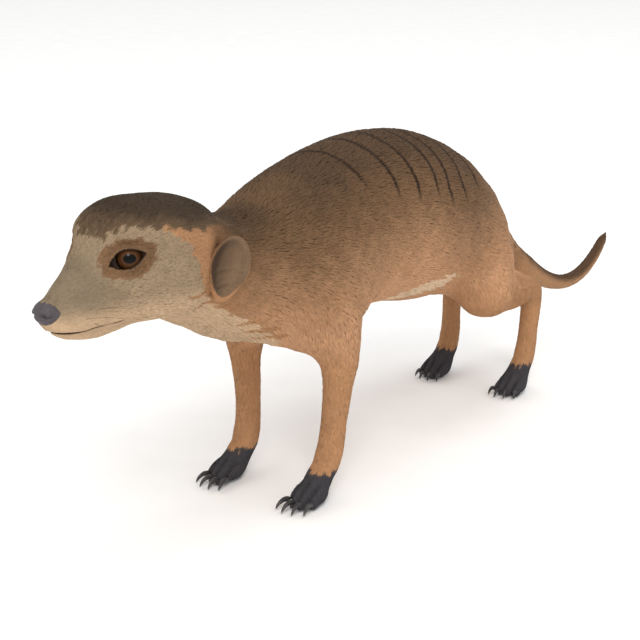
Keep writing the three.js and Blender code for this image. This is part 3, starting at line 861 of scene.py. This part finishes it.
def with_neck(colour, p, ragged):
    """Orange round the ears, a darker nape, partly its own coat and partly painted shadow from the
    head, and a pale bib.
    """
    _, y, z = p.T
    colour = blend(colour, ORANGE, smooth(y, -118, -134))
    # The nape is darker partly from the coat's own tone and partly from painted shadow under the head
    # and ears.
    nape_tone_and_shadow = smooth(y, -92, -108) * smooth(z, 96, 112) * smooth(y, -144, -136)
    colour = colour * (1 - 0.4 * nape_tone_and_shadow)[:, None]
    bib = height_of(BIB_LINE, y) - z + 0.7 * ragged
    return blend(colour, PALE, smooth(bib, -0.4, 0.4) * smooth(y, -98, -101))


def with_face(colour, p, ragged):
    """Cream face, streaks on its edge, dark cap, the brown ring round the eye and a painted shade
    down the cheek.
    """
    x, y, z = p.T
    face = smooth(height_of(FACE_LINE, z) - y + ragged, -0.3, 0.3)
    cream = blend(CREAM, PALE, smooth(z, 101, 91))
    cream = blend(cream, BRIDGE, smooth(z, 92, 101) * smooth(y, -174, -186) * 0.9)
    colour = blend(colour, cream, face * smooth(y, -126, -130))
    near = np.minimum.reduce([streak(p, *one) for one in STREAKS])
    colour = blend(colour, ORANGE, smooth(near, 0.3, -0.1) * (x < 24))
    cap = z - height_of(CAP_LINE, y) + 0.8 * ragged
    dark = blend(CAP_EDGE, CAP, smooth(cap, 0, 5))
    head = smooth(y, -110, -124) * smooth(z, 70, 82)
    colour = blend(colour, dark, smooth(cap, -0.5, 0.5) * head)
    q = p - EYE
    u, v = q @ ACROSS + 0.7, q @ UP
    c, s = math.cos(RING_SLANT), math.sin(RING_SLANT)
    ring = np.hypot((u * c + v * s) / 9.4, (v * c - u * s) / 6.2) + 0.08 * ragged
    colour = blend(colour, RING, smooth(ring, 1.06, 0.98) * (q @ AHEAD > -3))
    # painted shade along the fold of the cheek
    return colour * (1 - 0.16 * bell(capsule(p, *CHEEK_FOLD_SHADE), 2.6))[:, None]


def ear_parts(p):
    """Shares of the ear's bowl, its front edge with painted shadow, and back rim, and the bowl's
    painted shade, darker towards the front.
    """
    q = ear_local(p)
    on_ear = smooth(ellipsoid(q, EAR_SIZE), 0.9, 0.3)
    bowl = ellipsoid(q - EAR_BOWL["at"], EAR_BOWL["size"])
    inside = smooth(bowl, 0.9, 0.3) * on_ear
    # painted shadow along the bowl's front edge
    front = smooth(q[:, 1], -2.6, -5.2) * smooth(bowl, 0.5, 0.1) * on_ear
    back = smooth(bowl, 2.2, 1.2) * smooth(q[:, 2] + q[:, 1], -3, 4) * on_ear
    # the last value is painted shade across the bowl, darker towards its front
    return inside, 0.8 * front, back, 0.62 + 0.5 * smooth(q[:, 1], -5, 3)


def bare_skin(p):
    """Colour of the leather and the wet edges, and how bare the skin is."""
    p = mirrored(p)
    gap = lid_gap(p)
    _, _, out = eye_local(p)
    near_eye = (far(p, EYE) < 11) & (out > 0)
    lid = smooth(gap, 0.75, 0.35) * near_eye
    nose = smooth(nose_edge(p), 0.25, -0.1) * (far(p, NOSE) < 6.5)
    rise, lips = lips_at(p)
    lips = lips * smooth(np.abs(rise), 0.75, 0.3)
    soles = smooth(p[:, 2], 1.4, 0.6)
    colour = blend(LEATHER, LID_EDGE, lid)
    colour = blend(colour, LIP_LINE, lips)
    colour = blend(colour, PAW, soles)
    return colour, np.maximum.reduce([lid, nose, lips, soles])


# ---- The lie and the size of the coat ----

# The middle of the tail: place along the body and height.
TAIL_LINE = (
    (88, 60), (110, 43.3), (131, 33.6), (147, 29.6), (162, 29.8), (177, 35.2), (192, 46.4),
)
# Length and width of a tuft, tufts to a square millimetre, and how high its tip stands.
BODY_COAT = (4.9, 0.62, 2.6, 0.65)
LEG_COAT = (3.5, 0.54, 4.2, 0.42)
PAW_COAT = (1.7, 0.4, 9, 0.22)
TAIL_COAT = (4.2, 0.52, 3.8, 0.55)
HEAD_COAT = (2.8, 0.42, 6.4, 0.42)
SNOUT_COAT = (1.6, 0.34, 11, 0.18)
EAR_COAT = (1.4, 0.32, 16, 0.1)
TUFTS = 245000
PIECE = 32000  # tufts in one mesh, at most
UNDERCOAT = 0.25  # share of tufts that are wider and lie flatter


def lie(p, normals):
    """Which way the hair points, before it is laid on the skin."""
    side = np.sign(p[:, 0])
    q = mirrored(p)
    x, y, z = q.T
    way = np.column_stack([0 * x, 1 + 0 * x, -0.3 * np.abs(normals[:, 0]) - 0.05])
    way = blend(way, unit(q - NOSE + [0, -2, 0]), smooth(y, -128, -150))
    chest = smooth(y, -78, -92) * smooth(z, 88, 78) * smooth(y, -108, -98)
    way = blend(way, (0, 0.6, -0.8), chest)
    fore, hind = y < -40, (y > -5) & (y < 92)
    leg = np.where(fore, smooth(z, 84, 62), smooth(z, 78, 56) * smooth(y, 2, 18)) * (fore | hind)
    way = blend(way, (0, 0.12, -1), leg * smooth(y, -108, -98))
    way = blend(way, (0, -1, -0.45), smooth(z, 13, 8) * (y < 90))  # the toes
    places, heights = np.transpose(TAIL_LINE)
    lean = np.interp(y, places[1:], np.diff(heights) / np.diff(places))
    tail = np.column_stack([0 * x, 1 + 0 * x, lean])
    way = blend(way, unit(tail), smooth(y, 84, 100))
    on_ear = smooth(ellipsoid(ear_local(q), EAR_SIZE), 1.4, 0.4)
    way = blend(way, unit(q - (EAR + [-5, 1, -4])), on_ear)
    way[:, 0] *= np.where(side < 0, -1, 1)
    return way


def laid(way, normals):
    """The way, laid flat on the skin."""
    return unit(way - (way * normals).sum(1, keepdims=True) * normals)


def smoothed(way, normals, corners, rounds):
    """Evens out the lie of the hair over the mesh."""
    a = corners.ravel()
    b = corners[:, [1, 2, 0]].ravel()
    count = np.bincount(a, minlength=len(way)) + np.bincount(b, minlength=len(way))
    for _ in range(rounds):
        total = np.stack([
            np.bincount(a, way[b, k], len(way)) + np.bincount(b, way[a, k], len(way))
            for k in range(3)
        ], 1)
        way = laid(way + total / count[:, None], normals)
    return way


def coat_size(p):
    q = mirrored(p)
    _, y, z = q.T
    head = smooth(y, -108, -132) * smooth(z, 70, 80)
    snout = smooth(y, -170, -188)
    leg = smooth(z, 66, 44) * (1 - smooth(y, 84, 96))
    paw = smooth(z, 17, 10)
    tail = smooth(y, 86, 106)
    ear = smooth(ellipsoid(ear_local(q), EAR_SIZE), 1.2, 0.3)
    sizes = np.array(BODY_COAT)
    shares = (leg, paw, tail, head, snout, ear)
    coats = (LEG_COAT, PAW_COAT, TAIL_COAT, HEAD_COAT, SNOUT_COAT, EAR_COAT)
    for share, size in zip(shares, coats):
        sizes = blend(sizes, size, share)
    length, width, crowd, stand = sizes.T
    gap = lid_gap(q)
    near_eye = far(q, EYE) < 12
    length = np.where(near_eye, np.minimum(length, 0.5 + 0.55 * np.maximum(gap, 0)), length)
    return length, width, crowd, stand


def sown(draw, points, corners):
    """A triangle for each tuft, by how crowded they are, and a place on it."""
    a, b, c = points[corners.T]
    area = far(np.cross(b - a, c - a)) / 2
    middle = (a + b + c) / 3
    crowd = coat_size(middle)[2] * (bare_skin(middle)[1] < 0.5)
    q = mirrored(middle)
    in_eye = (lid_gap(q) < 0.5) & (far(q, EYE) < 9)
    crowd[in_eye] = 0
    weight = area * crowd
    steps = (np.arange(TUFTS) + draw.random(TUFTS)) / TUFTS
    face = np.searchsorted(np.cumsum(weight) / weight.sum(), steps)
    face = np.minimum(face, len(corners) - 1)
    return face, draw.dirichlet((1, 1, 1), TUFTS)


def make_coat(field, points, corners, normals, way, uv, material):
    """Tufts over the skin, each a leaf of six triangles, in a few meshes."""
    draw = np.random.default_rng(11)
    face, share = sown(draw, points, corners)

    def at(values):
        return np.einsum("nk,nkd->nd", share, values[corners[face]])

    root, n, t = at(points), unit(at(normals)), at(way)
    t = laid(t, n)
    root_uv = np.einsum("nk,nkd->nd", share, uv.reshape(-1, 3, 2)[face])
    length, width, _, stand = coat_size(root)
    length = length * draw.uniform(0.7, 1.2, TUFTS)
    width = width * draw.uniform(0.75, 1.2, TUFTS)
    stand = stand * draw.uniform(0.6, 1.15, TUFTS)
    under = draw.random(TUFTS) < UNDERCOAT
    width, stand = np.where(under, 1.5 * width, width), np.where(under, 0.45 * stand, stand)
    yaw = draw.normal(0, 0.13, TUFTS)
    side = np.cross(n, t)
    t = t * np.cos(yaw)[:, None] + side * np.sin(yaw)[:, None]
    side = np.cross(n, t)

    def lifted(spot, height):
        """The spot at a height over the skin, and the way out of the skin there."""
        g = slope(field.at, spot, 0.4)
        push = (height - field.at(spot)) / np.maximum((g * g).sum(1), 0.3)
        limit = 0.6 * length
        return spot + g * np.clip(push, -limit, limit)[:, None], unit(g + 0.1 * n)

    # Shorter where the skin turns up ahead.
    ahead = (lifted(root + t * length[:, None], stand)[1] * t).sum(1)
    length = length * (1 - 0.7 * smooth(ahead, -0.1, -0.5))
    middle, n_middle = lifted(root + t * (0.45 * length)[:, None], 0.55 * stand + 0.03)
    tip, n_tip = lifted(root + t * length[:, None], stand)
    start = root - n * 0.1
    bow = ((middle - (start + tip) / 2) * n).sum(1)
    middle = middle + n * np.maximum(0, 0.07 - bow)[:, None]
    half = side * (width / 2)[:, None]
    raised = middle + n_middle * (0.22 * width)[:, None]
    verts = np.stack([start, middle - half, middle + half, raised, tip], 1)
    leaf = np.array([[0, 3, 2], [0, 1, 3], [1, 4, 3], [3, 4, 2], [0, 4, 1], [0, 2, 4]])
    patch = np.array([[0, -1], [-1, 0], [1, 0], [0, 0.15], [0, 1]]) * 0.0015
    colours = markings(middle + 0.3 * (tip - middle), n_middle)
    colours = colours * draw.normal(1, 0.05, (TUFTS, 1)) * draw.normal(1, 0.012, (TUFTS, 3))
    colours = np.clip(colours, 0.004, 1)
    strand = np.zeros((TUFTS, 5, 3))
    strand[:, :, 0] = [0, 0.45, 0.45, 0.5, 1]
    strand[:, :, 1] = draw.random((TUFTS, 1))
    left, right = unit(n_middle - 0.35 * side), unit(n_middle + 0.35 * side)
    shown = np.stack([n, left, right, n_middle, unit(n_tip + 0.15 * t)], 1)
    order = np.argsort(root[:, 1], kind="stable")  # from the nose to the tail
    for number, chosen in enumerate(np.array_split(order, math.ceil(TUFTS / PIECE))):
        faces = (leaf[None] + 5 * np.arange(len(chosen))[:, None, None]).reshape(-1, 3)
        spots = root_uv[chosen][:, None] + patch[None]
        yield make_object(
            f"coat_{number + 1}",
            material,
            verts[chosen].reshape(-1, 3),
            faces,
            np.repeat(colours[chosen], 5, axis=0),
            strand[chosen].reshape(-1, 3),
            spots.reshape(-1, 2)[faces.ravel()],
            shown[chosen].reshape(-1, 3),
        )


# ---- Materials ----

# In metres: what the stripes' ramps span, from how far ahead, up to what height, how softly.
STRIPES_SPAN, STRIPES_START, STRIPES_HIGHEST, STRIPES_FADE = 0.100, 0.070, 0.2, 0.006
EYE_SPAN, PUPIL_SPAN = 6, 3  # millimetres from the middle of the eye


def striped(tree, colour, jitter):
    """The dark stripes across the back."""
    _, y, z = parts_of(tree, position(tree))
    wobble = math_node(tree, "MULTIPLY_ADD", noise(tree, 55, 1), 0.0016, -0.0008)
    y = math_node(tree, "ADD", y, wobble)
    if jitter is not None:
        y = math_node(tree, "MULTIPLY_ADD", jitter, 0.0006, y)
        y = math_node(tree, "SUBTRACT", y, 0.0003)
    first = START[1] / MM - STRIPES_START
    place = math_node(tree, "MULTIPLY_ADD", y, 1 / STRIPES_SPAN, -first / STRIPES_SPAN)
    stops, ends = [], []
    for middle, end in STRIPES:
        t = (middle / MM + START[1] / MM - first) / STRIPES_SPAN
        for shift, value in ((-0.012, 0), (-0.006, 1), (0.006, 1), (0.012, 0)):
            stops.append((t + shift, value))
        ends.append((t, end / MM / STRIPES_HIGHEST))
    line = colour_ramp(tree, place, stops)
    end = colour_ramp(tree, place, ends)
    above = math_node(tree, "MULTIPLY_ADD", end, -STRIPES_HIGHEST, z)
    fade = math_node(tree, "MULTIPLY", above, 1 / STRIPES_FADE, clamp=True)
    share = math_node(tree, "MULTIPLY", line, fade)
    return mix(tree, share, colour, (*STRIPE, 1))


def coat_colour(tree, fine, dark, light):
    """The coat's colour with a fine grain."""
    grain = colour_ramp(tree, fine, [(0.3, dark), (0.7, light)])
    return mix(tree, 1.0, attribute(tree, "coat", "Color"), grain, "MULTIPLY")


def fur_material():
    """Tufts that are darker at the root and lighter at the tip."""
    material, tree, shader = new_material("fur", 0.7, 0.1)
    along, chance, _ = parts_of(tree, attribute(tree, "strand"))
    colour = coat_colour(tree, noise(tree, 900, 2), 0.94, 1.04)
    shade = colour_ramp(tree, along, [(0, 0.84), (0.45, 0.97), (1, 1.06)])
    colour = mix(tree, 1.0, colour, shade, "MULTIPLY")
    tree.links.new(striped(tree, colour, chance), shader.inputs["Base Color"])
    rough = colour_ramp(tree, along, [(0, 0.8), (1, 0.65)])
    tree.links.new(rough, shader.inputs["Roughness"])
    return material


def hide_material():
    """The skin under the coat, and the leather."""
    material, tree, shader = new_material("hide", 0.7, 0.18)
    bare = parts_of(tree, attribute(tree, "strand"))[0]
    fine = noise(tree, 1400, 2)
    colour = coat_colour(tree, fine, 0.8, 1.05)
    tree.links.new(striped(tree, colour, None), shader.inputs["Base Color"])
    rough = colour_ramp(tree, bare, [(0.2, 0.8), (0.9, 0.48)])
    tree.links.new(rough, shader.inputs["Roughness"])
    cells = node(tree, "ShaderNodeTexVoronoi", {"Scale": 1700.0, "Vector": position(tree)})
    height = math_node(tree, "MULTIPLY_ADD", cells.outputs["Distance"], 0.6, fine)
    bump(tree, shader, height, 0.35, 0.00012)
    return material


def reach_of(tree, across, up):
    """How far a place on the eye is from the middle of its look."""
    flat = node(tree, "ShaderNodeCombineXYZ", {0: across, 1: up}).outputs[0]
    return node(tree, "ShaderNodeVectorMath", {0: flat}, operation="LENGTH").outputs["Value"]


def eye_material():
    """A brown iris of fine rays round a wide pupil."""
    material, tree, shader = new_material("eyeball", 0.5, 0.0)
    shader.inputs["Coat Weight"].default_value = 0.5
    shader.inputs["Coat Roughness"].default_value = 0.03
    shader.inputs["Coat IOR"].default_value = 1.33
    across, up, _ = parts_of(tree, attribute(tree, "strand"))
    reach = reach_of(tree, across, up)
    turned = math_node(tree, "ARCTAN2", up, across)
    rays = {0: turned, 1: math_node(tree, "MULTIPLY", reach, 0.1)}
    rays = node(tree, "ShaderNodeCombineXYZ", rays).outputs[0]
    browns = [(0.25, paint(44, 26, 14)), (0.5, paint(78, 48, 26)), (0.75, paint(108, 70, 36))]
    iris = colour_ramp(tree, noise(tree, 14, 4, rays, 0.65), browns)
    zone = math_node(tree, "MULTIPLY", reach, 1 / EYE_SPAN)
    rim = [(0, 1), (0.54, 0.8), (0.66, 0.15), (0.74, 0.08)]
    iris = mix(tree, 1.0, iris, colour_ramp(tree, zone, rim), "MULTIPLY")
    white = colour_ramp(tree, zone, [(0.70, 0), (0.78, 1)])
    colour = mix(tree, white, iris, (*paint(96, 74, 58), 1))
    open_ = reach_of(tree, math_node(tree, "MULTIPLY", across, 0.72), up)
    open_ = math_node(tree, "MULTIPLY", open_, 1 / PUPIL_SPAN)
    pupil = colour_ramp(tree, open_, [(0.46, 1), (0.52, 0)])
    colour = mix(tree, pupil, colour, (0.002, 0.002, 0.002, 1))
    tree.links.new(colour, shader.inputs["Base Color"])
    return material


def claw_material():
    shades = [(0.3, paint(34, 32, 33)), (0.6, paint(58, 55, 56)), (0.8, paint(86, 80, 76))]
    material, tree, shader = grained("claw_horn", 0.4, 0.45, (260, 3), shades)
    bump(tree, shader, noise(tree, 1500, 2), 0.3, 0.00008)
    return material


def whisker_material():
    shades = [(0.3, paint(44, 36, 30)), (0.7, paint(84, 72, 62))]
    return grained("whisker", 0.45, 0.3, (300, 1), shades)[0]


# ---- Eyes, claws and whiskers ----

EYE_RINGS, EYE_STEPS = 40, 56
CLAW_ROUNDS = 2  # times that the claws' triangles are split
WHISKER_LENGTH = (7, 11)
WHISKER_RADIUS = 0.07
WHISKER_BEND = (-0.08, 0.25, -0.14)  # of its length at the tip
RINGS, SIDES = 6, 3  # of a whisker


def make_eye(side, material):
    angle = np.linspace(0, math.pi, EYE_RINGS + 1)[1:-1]
    around = np.linspace(0, 2 * math.pi, EYE_STEPS, endpoint=False)
    a, w = np.meshgrid(angle, around, indexing="ij")
    local = np.stack([np.sin(a) * np.cos(w), np.sin(a) * np.sin(w), np.cos(a)], -1).reshape(-1, 3)
    local = np.concatenate([[[0, 0, 1.0]], local, [[0, 0, -1.0]]]) * EYE_RADIUS
    last = 1 + (EYE_RINGS - 2) * EYE_STEPS
    faces = []
    for i in range(EYE_STEPS):
        j = (i + 1) % EYE_STEPS
        faces += [(0, 1 + i, 1 + j), (last + i, len(local) - 1, last + j)]
        for p in range(1, last, EYE_STEPS):
            q = p + EYE_STEPS
            faces += [(p + i, q + i, q + j), (p + i, q + j, p + j)]
    points = EYE + local @ np.stack([ACROSS, UP, AHEAD])
    faces = np.array(faces)
    if side < 0:
        points = points * [-1, 1, 1]
        faces = faces[:, ::-1]
    word = "left" if side > 0 else "right"
    eye = make_object(f"eyeball_{word}", material, points, faces, strand=local)
    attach(eye, "root")
    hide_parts(f"eye_{word}")


def make_claws(paw, side, material):
    names = [f"{paw}_claw_{side}_{k}" for k in range(1, 5)]
    verts, faces = [], []
    for name in names:
        points, corners = node_triangles(name)
        points, corners = points.astype(float), corners.astype(int)
        for _ in range(CLAW_ROUNDS):
            every = np.ones(len(corners), bool)
            points, corners = refined(points, corners, every, vertex_normals(points, corners))
        faces.append(corners + sum(len(v) for v in verts))
        verts.append(points)
    verts, faces = np.concatenate(verts), np.concatenate(faces)
    claws = make_object(f"claws_{paw}_{side}", material, verts, faces)
    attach(claws, "root")
    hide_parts(*names)


def make_whiskers(base, material):
    """Fine hairs that taper and bend back."""
    draw = np.random.default_rng(23)
    exact = lambda p: features(p, base.at(p))
    root = [(7, -188 + 3.1 * k + 1.2 * row, 94.4 + 2 * row) for row in range(2) for k in range(3)]
    root = settled(root + draw.normal(0, 0.3, (len(root), 3)), exact, 0.3, 6, 0.3)
    n = unit(slope(exact, root, 0.3))
    out = unit(n + [0.1, 0.9, 0.1] + draw.normal(0, 0.1, n.shape))
    length = draw.uniform(*WHISKER_LENGTH, len(root))
    side = unit(np.cross(out, [0, 0, 1]))
    rings = []
    for step in np.linspace(0, 1, RINGS):
        middle = root - n * 0.2 + out * (step * length)[:, None]
        middle = middle + (step**2 * length)[:, None] * WHISKER_BEND
        for corner in range(SIDES):
            angle = 2 * math.pi * corner / SIDES
            away = side * math.cos(angle) + np.cross(out, side) * math.sin(angle)
            rings.append(middle + away * (WHISKER_RADIUS * (1 - 0.92 * step)))
    verts = np.stack(rings, 1)
    last = SIDES * (RINGS - 1)
    faces = [(last, last + 1, last + 2)]
    for low in range(0, last, SIDES):
        for corner in range(SIDES):
            a, b = low + corner, low + (corner + 1) % SIDES
            c, d = a + SIDES, b + SIDES
            faces += [(a, b, d), (a, d, c)]
    both, every = [], []
    for sign in (1, -1):
        for hair in verts:
            every.append(np.array(faces)[:, ::sign] + len(rings) * len(both))
            both.append(hair * [sign, 1, 1])
    whiskers = make_object("whiskers", material, np.concatenate(both), np.concatenate(every))
    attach(whiskers, "root")


# ---- The whole animal ----


def unwrap(skin):
    bpy.context.view_layer.objects.active = skin
    skin.select_set(True)
    skin.data.uv_layers.new(name="OFBake")
    bpy.ops.object.mode_set(mode="EDIT")
    bpy.ops.mesh.select_all(action="SELECT")
    bpy.ops.uv.smart_project(angle_limit=math.radians(66), island_margin=0.001)
    bpy.ops.object.mode_set(mode="OBJECT")
    uv = np.empty(len(skin.data.loops) * 2, np.float32)
    skin.data.uv_layers["OFBake"].uv.foreach_get("vector", uv)
    return uv.reshape(-1, 2)


def make_skin(points, corners, normals, material):
    """The one skin in place of the nodes of flesh."""
    leather, bare = bare_skin(points)
    painted_gap_light = 1.05 + 0.4 * smooth(coat_size(points)[0], 1.5, 4.5)  # painted light against the shade in the gaps between tufts: as light as the coat over it
    tint = blend(np.minimum(markings(points, normals) * painted_gap_light[:, None], 1), leather, bare)
    strand = np.column_stack([bare, 0 * bare, 0 * bare])
    skin = make_object("skin", material, points, corners, tint, strand)
    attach(skin, "root")
    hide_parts(*FLESH)
    return unwrap(skin)


make_camera()
make_studio()
base = base_field()
part_toes(base)
field = carve(base)
points, corners = skin_mesh(base, field)
normals = vertex_normals(points, corners)
uv = make_skin(points, corners, normals, hide_material())
way = smoothed(laid(lie(points, normals), normals), normals, corners, 12)
for piece in make_coat(field, points, corners, normals, way, uv, fur_material()):
    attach(piece, "root")
eyeball = eye_material()
for side in (1, -1):
    make_eye(side, eyeball)
horn = claw_material()
for paw in ("fore", "hind"):
    for side in ("left", "right"):
        make_claws(paw, side, horn)
make_whiskers(base, whisker_material())

[[list(corner) for corner in box] for box in (CAD_BOX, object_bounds())]
